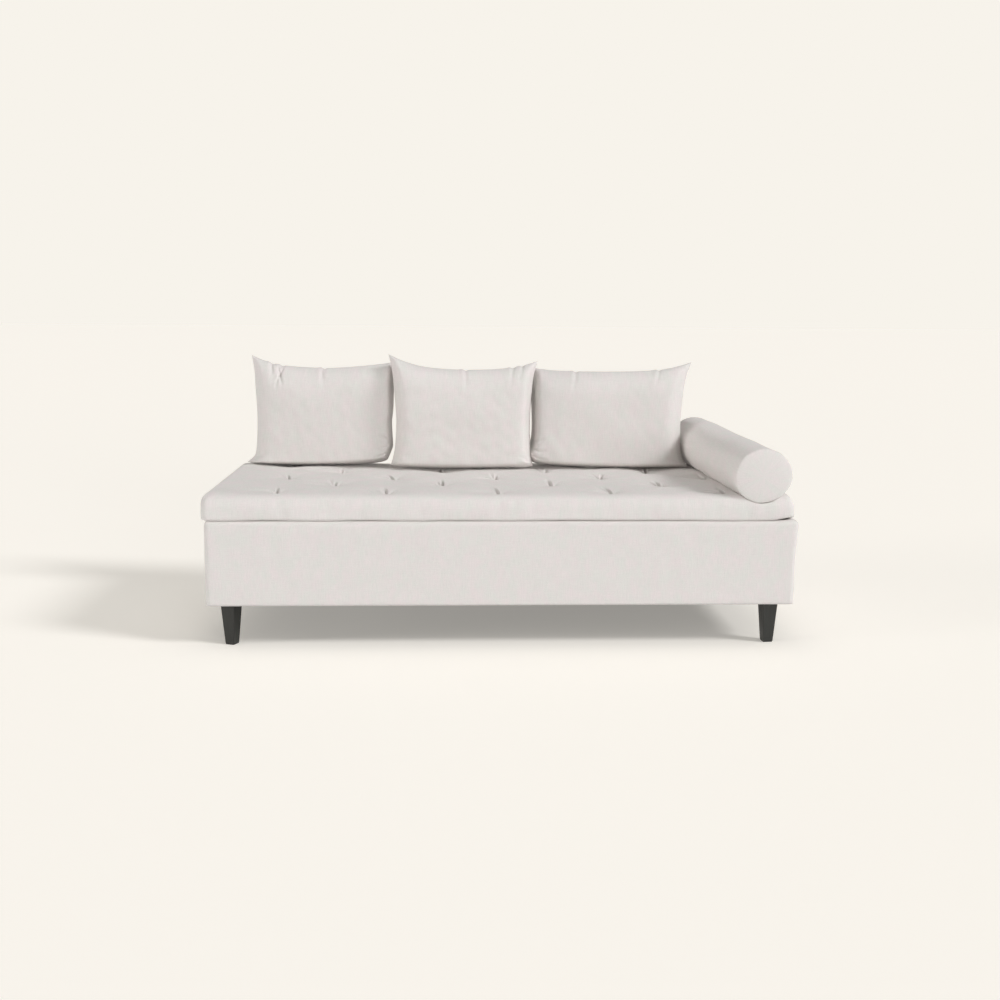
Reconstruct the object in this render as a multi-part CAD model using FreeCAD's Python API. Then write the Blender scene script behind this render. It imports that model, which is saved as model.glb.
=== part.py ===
import FreeCAD, Part
import math, os

# Backless divan: upholstered box on four tapered legs, loose tufted mattress,
# three loose knife-edge cushions and one bolster.
# Millimetres. X runs along the length, Y from front to back, Z up, floor at 0.

os.makedirs("parts", exist_ok=True)
Vector = FreeCAD.Vector

# Upholstered base
base_length = 2000.0
base_depth = 900.0
base_height = 289.0
base_corner_radius = 20.0
base_top_edge_radius = 6.0
cover_gauge = 1.5
wadding_gauge = 10.0
panel_thickness = 22.0
hem_width = 18.0
dust_cover_gauge = 1.0
dust_cover_margin = 14.0

# Frame inside the base
corner_post_size = 36.0
leg_board_size = 150.0
leg_board_thickness = 24.0
leg_board_snub = 60.0
ledger_width = 30.0
ledger_height = 40.0
ledger_end_gap = 1.0
cross_rail_thickness = 22.0
cross_rail_height = 60.0
cross_rail_spread = 660.0
slat_count = 14
slat_width = 70.0
slat_thickness = 18.0
slat_drop = 1.0
slat_end_gap = 2.0
first_slat_gap = 24.0
slat_tape_width = 25.0
slat_tape_gauge = 1.0
slat_tape_spread = 500.0
cover_return_gap = 0.5

# Legs
leg_height = 139.0
leg_top_size = 54.0
leg_bottom_size = 35.0
leg_chamfer = 2.5
leg_end_inset = 80.0
leg_front_inset = 50.0
leg_turn_front_left = -24.0
leg_turn_front_right = 6.0
leg_turn_rear = 0.0
pad_thickness = 4.0
pad_margin = 2.0
bolt_radius = 4.0
bolt_in_leg = 30.0
bolt_above_nut = 8.0
nut_wall = 1.2
nut_barrel_length = 16.0
nut_flange_radius = 10.0
nut_flange_gauge = 1.5
thread_clearance = 0.2
thread_sides = 12
cut_through = 1.0

# Mattress
mattress_end_gap = 4.0
mattress_side_gap = 3.0
mattress_thickness = 89.0
mattress_shift = -10.0
mattress_corner_radius = 32.0
mattress_gauge = 2.0
side_wadding = 8.0
core_thickness = 58.0
core_corner_snub = 24.0
wadding_under_bolster = 5.0
soft_gap = 0.3

# Tufts, five in the odd rows and four between them in the even rows
tuft_rows = 5
tuft_row_pitch = 170.0
tuft_pitch = 390.0
long_row_count = 5
tuft_depth = 21.0
tuft_reach = 78.0
tuft_sides = 12
tuft_lining_sides = 6
stitch_length = 11.0
stitch_width = 3.5
stitch_height = 2.0
stitch_clearance = 1.5
twine_size = 2.4
twine_clearance = 0.3

# Cushions
cushion_thickness = 174.0
cushion_ear_lift = 34.0
cushion_gauge = 2.5
cushion_ear_fill = 34.0
cushion_lean = 4.5
cushion_settle = 22.0
cushion_foot = 10.0
cushion_sag = 2.0
# Each cushion: place of its seam from the middle of the base and from its rear edge, turn
# seen from above, half width and height of the seam, reach of its upper left, upper right,
# lower left and lower right ear, and rise of its upper left and upper right ear
cushion_left_x = -669.0
cushion_left_inset = 115.0
cushion_left_turn = -5.0
cushion_left_half_width = 264.0
cushion_left_height = 396.0
cushion_left_ears = (23.0, 14.0, 41.0, 8.0)
cushion_left_rises = (49.0, 20.0)
cushion_centre_x = -125.0
cushion_centre_inset = 212.0
cushion_centre_turn = 0.0
cushion_centre_half_width = 257.0
cushion_centre_height = 398.0
cushion_centre_ears = (29.0, 29.0, 22.0, 6.0)
cushion_centre_rises = (54.0, 36.0)
cushion_right_x = 433.0
cushion_right_inset = 178.0
cushion_right_turn = -3.5
cushion_right_half_width = 290.0
cushion_right_height = 392.0
cushion_right_ears = (10.0, 36.0, 28.0, -8.0)
cushion_right_rises = (14.0, 32.0)

# Bolster
bolster_radius = 94.5
bolster_length = 850.0
bolster_crown = 12.0
bolster_gauge = 2.0
bolster_sides = 36
bolster_end_inset = 123.0
bolster_front_inset = 12.0
bolster_front_sink = 34.0
bolster_rear_sink = 9.0
bolster_yaw = 4.3

# Levels and lines that follow from the sizes above
leg_top_z = pad_thickness + leg_height
base_low_z = leg_top_z + dust_cover_gauge
panel_low_z = base_low_z + cover_gauge
base_top_z = base_low_z + base_height
panel_top_z = base_top_z - cover_gauge - wadding_gauge
skin = cover_gauge + wadding_gauge
inner_length = base_length - 2 * (skin + panel_thickness)
inner_depth = base_depth - 2 * (skin + panel_thickness)
slat_top_z = base_top_z - slat_drop
slat_low_z = slat_top_z - slat_thickness
board_top_z = base_low_z + leg_board_thickness
mattress_length = base_length - 2 * mattress_end_gap
mattress_depth = base_depth - 2 * mattress_side_gap
mattress_low_z = base_top_z + soft_gap
mattress_top_z = mattress_low_z + mattress_thickness
leg_x = base_length / 2 - leg_end_inset
leg_y = base_depth / 2 - leg_front_inset


def save(shape, node):
    shape.exportStep("parts/" + node + ".step")
    solids = len(shape.Solids)
    print(node, "solids", solids, "volume", round(shape.Volume), "valid", shape.isValid())


def box(size_x, size_y, size_z, x=0.0, y=0.0, low=0.0):
    """A box centred on x and y that stands on low."""
    return Part.makeBox(size_x, size_y, size_z, Vector(x - size_x / 2, y - size_y / 2, low))


def group(solids):
    return Part.makeCompound(solids)


def level_edges(body, z):
    return [e for e in body.Edges if all(abs(v.Z - z) < 1e-6 for v in e.Vertexes)]


def upright_edges(body):
    return [
        e
        for e in body.Edges
        if len(e.Vertexes) == 2
        and abs(e.Vertexes[0].Z - e.Vertexes[1].Z) > 1e-6
        and abs(e.Vertexes[0].X - e.Vertexes[1].X) < 1e-6
        and abs(e.Vertexes[0].Y - e.Vertexes[1].Y) < 1e-6
    ]


def arc(start, middle, end):
    return Part.Arc(start, middle, end).toShape()


def traced(edges, steps):
    """Points along a closed run of edges, each edge in its own number of steps."""
    points = []
    for edge, count in zip(edges, steps):
        points += edge.discretize(Number=count + 1)[:-1]
    return points


def flat_faces(a, b, c, d):
    normal = (b - a).cross(d - a)
    if normal.Length > 0 and abs((c - a).dot(normal.normalize())) < 1e-6:
        return [Part.Face(Part.makePolygon([a, b, c, d, a]))]
    return [Part.Face(Part.makePolygon([a, b, c, a])), Part.Face(Part.makePolygon([a, c, d, a]))]


def ruled_solid(rings):
    """A loft of flat faces through flat rings that have equally many points."""
    faces = [Part.Face(Part.makePolygon(ring + ring[:1])) for ring in (rings[0], rings[-1])]
    for low, high in zip(rings, rings[1:]):
        for here in range(len(low)):
            after = (here + 1) % len(low)
            faces += flat_faces(low[here], low[after], high[after], high[here])
    solid = Part.makeSolid(Part.makeShell(faces))
    if solid.Volume < 0:
        solid.reverse()
    return solid


def circle_ring(radius, sides, z):
    turn = 2 * math.pi / sides
    return [Vector(radius * math.cos(turn * n), radius * math.sin(turn * n), z) for n in range(sides)]


def prism(radius, height, base):
    """An upright bar or hole of the given radius, standing on the point base."""
    ring = [base + p for p in circle_ring(radius, thread_sides, 0)]
    return ruled_solid([ring, [p + Vector(0, 0, height) for p in ring]])


def rounded_rectangle(size_x, size_y, radius, z):
    """Points round a rectangle with rounded corners, four steps to each corner."""
    slack = radius * (1 - math.sqrt(0.5))
    corner_lines = []
    for side_x, side_y in ((1, 1), (-1, 1), (-1, -1), (1, -1)):
        x = side_x * size_x / 2
        y = side_y * size_y / 2
        beside = Vector(x, y - side_y * radius, z)
        middle = Vector(x - side_x * slack, y - side_y * slack, z)
        along = Vector(x - side_x * radius, y, z)
        if side_x * side_y > 0:
            corner_lines.append(arc(beside, middle, along))
        else:
            corner_lines.append(arc(along, middle, beside))
    return [p for corner in corner_lines for p in corner.discretize(Number=5)]


def rounded_box(size_x, size_y, low, high, corner_radius, top_radius):
    """A box with rounded upright edges and a smaller round along its top edges."""
    rings = [rounded_rectangle(size_x, size_y, corner_radius, low)]
    for degrees in (0, 30, 60, 90):
        drawn_in = top_radius * (1 - math.cos(math.radians(degrees)))
        z = high - top_radius * (1 - math.sin(math.radians(degrees)))
        step = 2 * drawn_in
        rings.append(rounded_rectangle(size_x - step, size_y - step, corner_radius - drawn_in, z))
    return ruled_solid(rings)


# Frame panels: front and rear run the full length, the ends stand between them
frame_length = base_length - 2 * skin
frame_depth = base_depth - 2 * skin
panel_height = panel_top_z - panel_low_z
frame_block = box(frame_length, frame_depth, panel_height, low=panel_low_z)
panel_y = (inner_depth + panel_thickness) / 2
panel_x = (inner_length + panel_thickness) / 2
save(box(frame_length, panel_thickness, panel_height, 0, -panel_y, panel_low_z), "front_panel")
save(box(frame_length, panel_thickness, panel_height, 0, panel_y, panel_low_z), "rear_panel")
save(box(panel_thickness, inner_depth, panel_height, -panel_x, 0, panel_low_z), "left_panel")
save(box(panel_thickness, inner_depth, panel_height, panel_x, 0, panel_low_z), "right_panel")

# Wadding and cover follow the same block, each one layer further out
wadding_block = rounded_box(
    base_length - 2 * cover_gauge,
    base_depth - 2 * cover_gauge,
    panel_low_z,
    base_top_z - cover_gauge,
    base_corner_radius - cover_gauge,
    base_top_edge_radius - cover_gauge,
)
well = box(inner_length, inner_depth, base_height * 2, low=panel_low_z - base_height / 2)
save(wadding_block.cut(frame_block).cut(well), "base_wadding")

cover = rounded_box(
    base_length, base_depth, base_low_z, base_top_z, base_corner_radius, base_top_edge_radius
)
cover = cover.cut(wadding_block)
under_opening = 2 * (skin + hem_width)
cover = cover.cut(
    box(
        base_length - under_opening,
        base_depth - under_opening,
        4 * cover_gauge,
        low=base_low_z - cover_gauge,
    )
)
cover_well = box(
    inner_length - 2 * cover_gauge,
    inner_depth - 2 * cover_gauge,
    base_height * 2,
    low=base_top_z - base_height / 2,
)
return_low_z = slat_low_z + cover_return_gap
cover_return = box(inner_length, inner_depth, base_top_z - return_low_z, low=return_low_z)
cover = cover.fuse(cover_return).cut(cover_well).removeSplitter()
save(cover, "base_cover")

# Corner posts, leg boards, ledgers and cross rails
corners = {
    "front_left": (-1, -1),
    "front_right": (1, -1),
    "rear_left": (-1, 1),
    "rear_right": (1, 1),
}
for name, (side_x, side_y) in corners.items():
    post = box(
        corner_post_size,
        corner_post_size,
        slat_low_z - board_top_z,
        side_x * (inner_length - corner_post_size) / 2,
        side_y * (inner_depth - corner_post_size) / 2,
        board_top_z,
    )
    save(post, "corner_post_" + name)
    corner_x = side_x * inner_length / 2
    corner_y = side_y * inner_depth / 2
    near_x = corner_x - side_x * (leg_board_size - leg_board_snub)
    near_y = corner_y - side_y * (leg_board_size - leg_board_snub)
    far_x = corner_x - side_x * leg_board_size
    far_y = corner_y - side_y * leg_board_size
    outline = [
        Vector(corner_x, corner_y, base_low_z),
        Vector(far_x, corner_y, base_low_z),
        Vector(far_x, near_y, base_low_z),
        Vector(near_x, far_y, base_low_z),
        Vector(corner_x, far_y, base_low_z),
        Vector(corner_x, corner_y, base_low_z),
    ]
    board = Part.Face(Part.makePolygon(outline)).extrude(Vector(0, 0, leg_board_thickness))
    barrel_hole = prism(
        bolt_radius + 2 * thread_clearance + nut_wall,
        leg_board_thickness,
        Vector(side_x * leg_x, side_y * leg_y, base_low_z),
    )
    save(board.cut(barrel_hole), "leg_board_" + name)

ledger_length = inner_length - 2 * (corner_post_size + ledger_end_gap)
ledger_y = (inner_depth - ledger_width) / 2
for name, side_y in (("front", -1), ("rear", 1)):
    ledger = box(ledger_length, ledger_width, ledger_height, 0, side_y * ledger_y, slat_low_z - ledger_height)
    save(ledger, name + "_ledger")

for name, side_x in (("left", -1), ("right", 1)):
    rail_x = side_x * cross_rail_spread / 2
    rail = box(cross_rail_thickness, inner_depth, cross_rail_height, rail_x, 0, base_low_z)
    save(rail, "cross_rail_" + name)

# Slats, evenly spaced, with the two tapes that hold them apart
slat_length = inner_depth - 2 * (cover_gauge + slat_end_gap)
slat_row = inner_length - 2 * (cover_gauge + first_slat_gap) - slat_width
slat_pitch = slat_row / (slat_count - 1)
slats = []
for index in range(slat_count):
    slat_x = -slat_row / 2 + index * slat_pitch
    slats.append(box(slat_width, slat_length, slat_thickness, slat_x, 0, slat_low_z))
save(group(slats), "slats")
tapes = []
for side_y in (-1, 1):
    tapes.append(
        box(
            slat_row + slat_width,
            slat_tape_width,
            slat_tape_gauge,
            0,
            side_y * slat_tape_spread / 2,
            slat_low_z - slat_tape_gauge,
        )
    )
save(group(tapes), "slat_tapes")


# Legs with their hanger bolts, tee nuts and pads
bolts = []
nuts = []
pads = []
turns = {
    "front_left": leg_turn_front_left,
    "front_right": leg_turn_front_right,
    "rear_left": leg_turn_rear,
    "rear_right": leg_turn_rear,
}
half_top = leg_top_size / 2
half_bottom = leg_bottom_size / 2
nut_bore = bolt_radius + thread_clearance
bore_depth = bolt_in_leg + thread_clearance
bolt_length = bolt_in_leg + board_top_z - leg_top_z + nut_flange_gauge + bolt_above_nut
dust_cover = box(
    base_length - 2 * dust_cover_margin,
    base_depth - 2 * dust_cover_margin,
    dust_cover_gauge,
    low=leg_top_z,
)
for name, (side_x, side_y) in corners.items():
    foot = Vector(side_x * leg_x, side_y * leg_y, 0)
    leg = Part.makeWedge(
        -half_bottom,
        0,
        -half_bottom,
        -half_top,
        -half_top,
        half_bottom,
        leg_height,
        half_bottom,
        half_top,
        half_top,
    )
    corner_edges = [e for e in leg.Edges if abs(e.Vertexes[0].Y - e.Vertexes[1].Y) > leg_height / 2]
    leg = leg.makeChamfer(leg_chamfer, corner_edges)
    leg.rotate(Vector(0, 0, 0), Vector(1, 0, 0), 90)
    leg = leg.translated(Vector(0, 0, pad_thickness))
    leg = leg.cut(prism(nut_bore, bore_depth + cut_through, Vector(0, 0, leg_top_z - bore_depth)))
    leg.rotate(Vector(0, 0, 0), Vector(0, 0, 1), turns[name])
    save(leg.translated(foot), "leg_" + name)
    pad = box(leg_bottom_size - 2 * pad_margin, leg_bottom_size - 2 * pad_margin, pad_thickness)
    pad.rotate(Vector(0, 0, 0), Vector(0, 0, 1), turns[name])
    pads.append(pad.translated(foot))
    bolts.append(prism(bolt_radius, bolt_length, foot + Vector(0, 0, leg_top_z - bolt_in_leg)))
    nut = prism(nut_bore + nut_wall, nut_barrel_length, foot + Vector(0, 0, board_top_z - nut_barrel_length))
    nut = nut.fuse(prism(nut_flange_radius, nut_flange_gauge, foot + Vector(0, 0, board_top_z)))
    nuts.append(nut.cut(prism(nut_bore, leg_height, foot + Vector(0, 0, leg_top_z))))
    dust_cover = dust_cover.cut(prism(nut_bore, leg_height, foot + Vector(0, 0, base_low_z - leg_height / 2)))
save(group(bolts), "hanger_bolts")
save(group(nuts), "tee_nuts")
save(group(pads), "leg_pads")
save(dust_cover, "dust_cover")


# Mattress: rings from the flat underside, over bulging sides, to the crowned top.
# Shares of the mattress thickness: how high a ring lies, and how far it is drawn in
mattress_profile = (
    (0.0, 0.09),
    (0.07, 0.025),
    (0.22, 0.0),
    (0.4, 0.004),
    (0.58, 0.035),
    (0.77, 0.125),
    (0.91, 0.29),
    (0.98, 0.54),
    (1.0, 0.913),
)


def mattress_form(inset):
    """The mattress outline, moved inwards by inset on every side."""
    rings = []
    height = mattress_thickness - 2 * inset
    for share, draw_share in mattress_profile:
        drawn_in = draw_share * mattress_thickness
        step = 2 * (inset + drawn_in)
        radius = mattress_corner_radius - inset + 0.3 * drawn_in
        z = mattress_low_z + inset + share * height
        rings.append(rounded_rectangle(mattress_length - step, mattress_depth - step, radius, z))
    return ruled_solid(rings).translated(Vector(mattress_shift, 0, 0))


tuft_centres = []
for row in range(tuft_rows):
    in_row = long_row_count - row % 2
    for place in range(in_row):
        tuft_x = mattress_shift + (place - (in_row - 1) / 2) * tuft_pitch
        tuft_y = (row - (tuft_rows - 1) / 2) * tuft_row_pitch
        tuft_centres.append((tuft_x, tuft_y))
stitch_seat = stitch_length / 2 / math.cos(math.pi / tuft_sides) + stitch_clearance
tuft_profile = (
    (tuft_reach, 0.06 * tuft_depth),
    (0.6 * tuft_reach, -0.23 * tuft_depth),
    (0.3 * tuft_reach, -0.6 * tuft_depth),
    (stitch_seat, -tuft_depth),
)


def tuft_hollow(sides, profile):
    """The funnel that one tuft draws down, its flats clear of the round one by the lining."""
    spread = math.cos(math.pi / tuft_sides) / math.cos(math.pi / sides)
    return ruled_solid([circle_ring(radius * spread, sides, z) for radius, z in profile])


outer_hollow = tuft_hollow(tuft_sides, tuft_profile)
inner_hollow = tuft_hollow(tuft_lining_sides, (tuft_profile[0], tuft_profile[2], tuft_profile[3]))

# Bolster axis, level with the mattress top less the sink at each end
front_z = mattress_top_z + soft_gap + bolster_radius - bolster_front_sink
bolster_front = Vector(base_length / 2 - bolster_end_inset, bolster_front_inset - base_depth / 2, front_z)
run = math.sqrt(bolster_length**2 - (bolster_front_sink - bolster_rear_sink) ** 2)
yaw = math.radians(bolster_yaw)
bolster_axis = Vector(-run * math.sin(yaw), run * math.cos(yaw), bolster_front_sink - bolster_rear_sink)
bolster_axis = bolster_axis.normalize()


def bolster_bed(clearance):
    start = bolster_front - bolster_axis * bolster_length
    return Part.makeCylinder(bolster_radius + clearance, 3 * bolster_length, start, bolster_axis)


def mattress_layer(inset, hollow):
    """The outline with its tufts drawn in and the bed that the bolster presses."""
    hollows = [hollow.translated(Vector(x, y, mattress_top_z - inset)) for x, y in tuft_centres]
    return mattress_form(inset).cut(group(hollows)).cut(bolster_bed(soft_gap + inset))


def at_tufts(size_x, size_y, low, high):
    return group([box(size_x, size_y, high - low, x, y, low) for x, y in tuft_centres])


core_low_z = mattress_low_z + mattress_gauge
stitch_top_z = mattress_top_z - tuft_depth
hole = twine_size + 2 * twine_clearance
twine_ways = at_tufts(hole, hole, mattress_low_z - cut_through, stitch_top_z + cut_through)
stitch_ways = at_tufts(
    stitch_length + 2 * twine_clearance,
    stitch_width + 2 * twine_clearance,
    mattress_low_z - mattress_gauge,
    core_low_z,
)
outer_layer = mattress_layer(0.0, outer_hollow)
inner_layer = mattress_layer(mattress_gauge, inner_hollow)
save(outer_layer.cut(inner_layer).cut(twine_ways).cut(stitch_ways), "mattress_cover")
core_inset = mattress_gauge + side_wadding + mattress_profile[0][1] * mattress_thickness
core_block = box(
    mattress_length - 2 * core_inset,
    mattress_depth - 2 * core_inset,
    core_thickness,
    mattress_shift,
    0,
    core_low_z,
)
core_block = core_block.makeChamfer(core_corner_snub, upright_edges(core_block))
core_block = core_block.cut(bolster_bed(soft_gap + mattress_gauge + wadding_under_bolster))
save(inner_layer.cut(core_block).cut(twine_ways), "mattress_wadding")
save(core_block.cut(twine_ways), "mattress_core")
ties = []
low_stitch_z = mattress_low_z + twine_clearance
for x, y in tuft_centres:
    low_stitch = box(stitch_length, stitch_width, core_low_z - low_stitch_z, x, y, low_stitch_z)
    twine = box(twine_size, twine_size, stitch_top_z - core_low_z, x, y, core_low_z)
    top_stitch = box(stitch_length, stitch_width, stitch_height, x, y, stitch_top_z)
    ties.append(low_stitch.fuse(twine).fuse(top_stitch).removeSplitter())
save(group(ties), "mattress_tufts")


# Cushions: two lofted halves that meet at a knife-edge seam and run out into four ears.
# Each row gives the share of half the thickness, then as shares of the whole thickness how far the
# outline is drawn in there, the reach of the corner tips and the sweep of the corner, and last the
# bow of its two arcs. The first row has the reach of the ears instead.
cushion_rows = (
    (0.0, 0.0, None, 0.661, -0.06),
    (0.25, 0.023, -0.04, 0.356, 0.08),
    (0.52, 0.075, -0.086, 0.437, 0.09),
    (0.76, 0.19, -0.144, 0.529, 0.1),
    (0.92, 0.425, -0.172, 0.379, 0.1),
    (1.0, 0.759, -0.092, 0.172, 0.1),
)


def bowed(start, end, bow):
    """An arc whose middle stands off the chord by bow times its length, to the left."""
    chord = end - start
    side = Vector(-chord.y, chord.x, 0)
    return arc(start, (start + end) * 0.5 + side * bow, end)


def cushion_outline(half_width, top, bottom, drawn_in, reaches, rises, sweep, bow):
    """The edges of an outline in the plane of the seam, from the lower right round to the left.

    The reaches and rises are those of the upper left, upper right, lower left and lower right corner.
    """
    width = half_width - drawn_in
    high = top - drawn_in * 1.06
    low = bottom + 0.75 * max(0.0, drawn_in - cushion_foot)
    # Down each side: end of the upper sweep, upper tip, side below it, side above the lower
    # tip, lower tip, end of the lower sweep
    corners_2d = []
    for side, upper, lower in ((-1, 0, 2), (1, 1, 3)):
        rise = rises[upper]
        shoulder = 0.16 * (rise if rise > 0 else rise * 0.7)
        upper_tip = Vector(side * (width + reaches[upper]), high + rise, 0)
        lower_tip = Vector(side * (width + reaches[lower]), low + rises[lower], 0)
        corners_2d.append(
            (
                Vector(upper_tip.x - side * sweep, high + shoulder, 0),
                upper_tip,
                Vector(side * (width + shoulder), upper_tip.y - sweep, 0),
                Vector(side * (width + shoulder), lower_tip.y + sweep, 0),
                lower_tip,
                Vector(lower_tip.x - side * sweep, low - min(0.0, shoulder), 0),
            )
        )
    left, right = corners_2d
    middle_y = (right[2].y + right[3].y) / 2
    return [
        bowed(right[5], right[4], -bow),
        bowed(right[4], right[3], -bow),
        arc(right[3], Vector(width, middle_y, 0), right[2]),
        bowed(right[2], right[1], -bow),
        bowed(right[1], right[0], -bow),
        arc(right[0], Vector(0, high, 0), left[0]),
        bowed(left[0], left[1], -bow),
        bowed(left[1], left[2], -bow),
        arc(left[2], Vector(-width, middle_y, 0), left[3]),
        bowed(left[3], left[4], -bow),
        bowed(left[4], left[5], -bow),
        arc(left[5], Vector(0, low + cushion_sag, 0), right[5]),
    ]


def cushion_form(half_width, height, ears, ear_rises, inset, ear_fill, rows, steps):
    halves = []
    for side in (-1, 1):
        rings = []
        for share, draw_share, reach_share, sweep_share, bow in rows:
            drawn_in = draw_share * cushion_thickness
            sweep = sweep_share * cushion_thickness
            if reach_share is None:
                reaches = [ear - ear_fill for ear in ears]
                rises = [rise - ear_fill for rise in ear_rises] + [cushion_ear_lift - ear_fill] * 2
            else:
                corner = reach_share * cushion_thickness
                reaches = [corner] * 4
                rises = [corner, corner, -corner, -corner]
            edges = cushion_outline(
                half_width - inset, height - inset, inset, drawn_in, reaches, rises, sweep, bow
            )
            depth = side * share * (cushion_thickness / 2 - inset)
            rings.append([Vector(p.x, depth, p.y) for p in traced(edges, steps)])
        halves.append(ruled_solid(rings))
    return halves[0].fuse(halves[1]).removeSplitter()


outer_steps = (2, 2, 3, 2, 2, 4, 2, 2, 3, 2, 2, 4)
inner_steps = (1, 1, 2, 1, 1, 2, 1, 1, 2, 1, 1, 2)
inner_rows = (cushion_rows[0], cushion_rows[2], cushion_rows[3], cushion_rows[5])
cushions = (
    (
        "left",
        (cushion_left_x, cushion_left_inset, cushion_left_turn),
        (cushion_left_half_width, cushion_left_height, cushion_left_ears, cushion_left_rises),
    ),
    (
        "centre",
        (cushion_centre_x, cushion_centre_inset, cushion_centre_turn),
        (cushion_centre_half_width, cushion_centre_height, cushion_centre_ears, cushion_centre_rises),
    ),
    (
        "right",
        (cushion_right_x, cushion_right_inset, cushion_right_turn),
        (cushion_right_half_width, cushion_right_height, cushion_right_ears, cushion_right_rises),
    ),
)
for name, (seam_x, seam_inset, turn), sizes in cushions:
    seam_y = base_depth / 2 - seam_inset
    bodies = []
    layers = (
        (0.0, 0.0, cushion_rows, outer_steps),
        (cushion_gauge, cushion_ear_fill, inner_rows, inner_steps),
    )
    for inset, ear_fill, rows, steps in layers:
        body = cushion_form(*sizes, inset, ear_fill, rows, steps)
        body.rotate(Vector(0, 0, 0), Vector(1, 0, 0), -cushion_lean)
        body.rotate(Vector(0, 0, 0), Vector(0, 0, 1), turn)
        body = body.translated(Vector(seam_x, seam_y, mattress_top_z + soft_gap - cushion_settle))
        trim_top = mattress_top_z + soft_gap + inset
        trim = box(base_length, base_depth, base_height, seam_x, seam_y, trim_top - base_height)
        bodies.append(body.cut(trim))
    save(bodies[0].cut(bodies[1]), "cushion_" + name + "_cover")
    save(bodies[1], "cushion_" + name + "_filling")


# Bolster: a round roll with crowned ends inside a fabric cover
def bolster_roll(inset):
    radius = bolster_radius - inset
    length = bolster_length - 2 * inset
    crown = bolster_crown - inset
    profile = (
        (0.35 * radius, -crown),
        (0.78 * radius, -0.6 * crown),
        (radius, 0),
        (radius, length),
        (0.78 * radius, length + 0.6 * crown),
        (0.35 * radius, length + crown),
    )
    roll = ruled_solid([circle_ring(r, bolster_sides, z) for r, z in profile])
    roll.Placement = FreeCAD.Placement(
        bolster_front + bolster_axis * inset, FreeCAD.Rotation(Vector(0, 0, 1), bolster_axis)
    )
    return roll


roll_outer = bolster_roll(0.0)
roll_inner = bolster_roll(bolster_gauge)
save(roll_outer.cut(roll_inner), "bolster_cover")
save(roll_inner, "bolster_filling")
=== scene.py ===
import math
import bpy
import numpy as np
from mathutils import Matrix, Vector


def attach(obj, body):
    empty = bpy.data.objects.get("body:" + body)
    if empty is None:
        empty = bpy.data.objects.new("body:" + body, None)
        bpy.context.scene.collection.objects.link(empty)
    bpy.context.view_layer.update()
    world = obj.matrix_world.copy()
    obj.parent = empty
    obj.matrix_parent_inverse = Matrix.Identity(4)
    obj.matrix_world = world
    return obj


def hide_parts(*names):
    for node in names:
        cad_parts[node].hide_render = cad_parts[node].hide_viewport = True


# Backless divan. Metres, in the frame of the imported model: X along the length, Y to the back, Z up.
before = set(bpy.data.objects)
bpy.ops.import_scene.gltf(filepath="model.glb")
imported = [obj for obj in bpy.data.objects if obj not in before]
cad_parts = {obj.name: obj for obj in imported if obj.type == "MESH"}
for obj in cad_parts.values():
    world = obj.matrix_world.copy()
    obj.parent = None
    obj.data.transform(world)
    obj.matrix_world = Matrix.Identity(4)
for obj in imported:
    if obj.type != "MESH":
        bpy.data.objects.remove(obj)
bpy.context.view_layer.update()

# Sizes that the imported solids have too
BASE_LENGTH = 2.0
BASE_DEPTH = 0.9
BASE_LOW = 0.144
BASE_TOP = 0.433
BASE_CORNER = 0.020
SKIN = 0.0115
PANEL = 0.022
RETURN_LOW = 0.4145
HEM = 0.018
COVER = 0.0015
MATTRESS_LENGTH = 1.992
MATTRESS_DEPTH = 0.894
MATTRESS_SHIFT = -0.010
MATTRESS_LOW = 0.4333
MATTRESS_TOP = 0.5223
MATTRESS_CORNER = 0.032
TUFT_DEPTH = 0.021
TUFT_PITCH = 0.390
TUFT_ROW_PITCH = 0.170
# What lies on something else stays this far above it
REST_GAP = 0.0003
BOLSTER_RADIUS = 0.0945
BOLSTER_LENGTH = 0.850
BOLSTER_SINK = 0.034
BOLSTER_FRONT = Vector((0.877, -0.438, MATTRESS_TOP + REST_GAP + BOLSTER_RADIUS - BOLSTER_SINK))
BOLSTER_YAW = math.radians(4.3)
BOLSTER_RISE = 0.025


def waves(points, wavelength, seed, count=14, stretch=(1.0, 1.0, 1.0)):
    """Smooth noise of about unit size: a sum of seeded sine waves."""
    rng = np.random.default_rng(seed)
    total = np.zeros(len(points))
    for _ in range(count):
        way = rng.normal(size=3)
        way /= np.linalg.norm(way)
        number = way * 2 * math.pi / wavelength * rng.uniform(0.7, 1.4) / np.array(stretch)
        total += np.sin(points @ number + rng.uniform(0, 2 * math.pi))
    return total / math.sqrt(count / 2)


def smooth_step(value, low, high):
    t = np.clip((value - low) / (high - low), 0, 1)
    return t * t * (3 - 2 * t)


def rounded_line(points, rounds):
    """An open line with its corners cut, finer each round."""
    line = np.array(points, float)
    for _ in range(rounds):
        low = line[:-1] * 0.75 + line[1:] * 0.25
        high = line[:-1] * 0.25 + line[1:] * 0.75
        inner = np.stack([low, high], 1).reshape(-1, line.shape[1])
        line = np.vstack([line[:1], inner, line[-1:]])
    return line


def along_line(line, distances):
    """Points at the given distances along a line, and past its end straight on."""
    steps = np.linalg.norm(np.diff(line, axis=0), axis=1)
    reach = np.concatenate([[0], np.cumsum(steps)])
    return np.stack([np.interp(distances, reach, line[:, n]) for n in range(line.shape[1])], 1), reach[-1]


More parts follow.
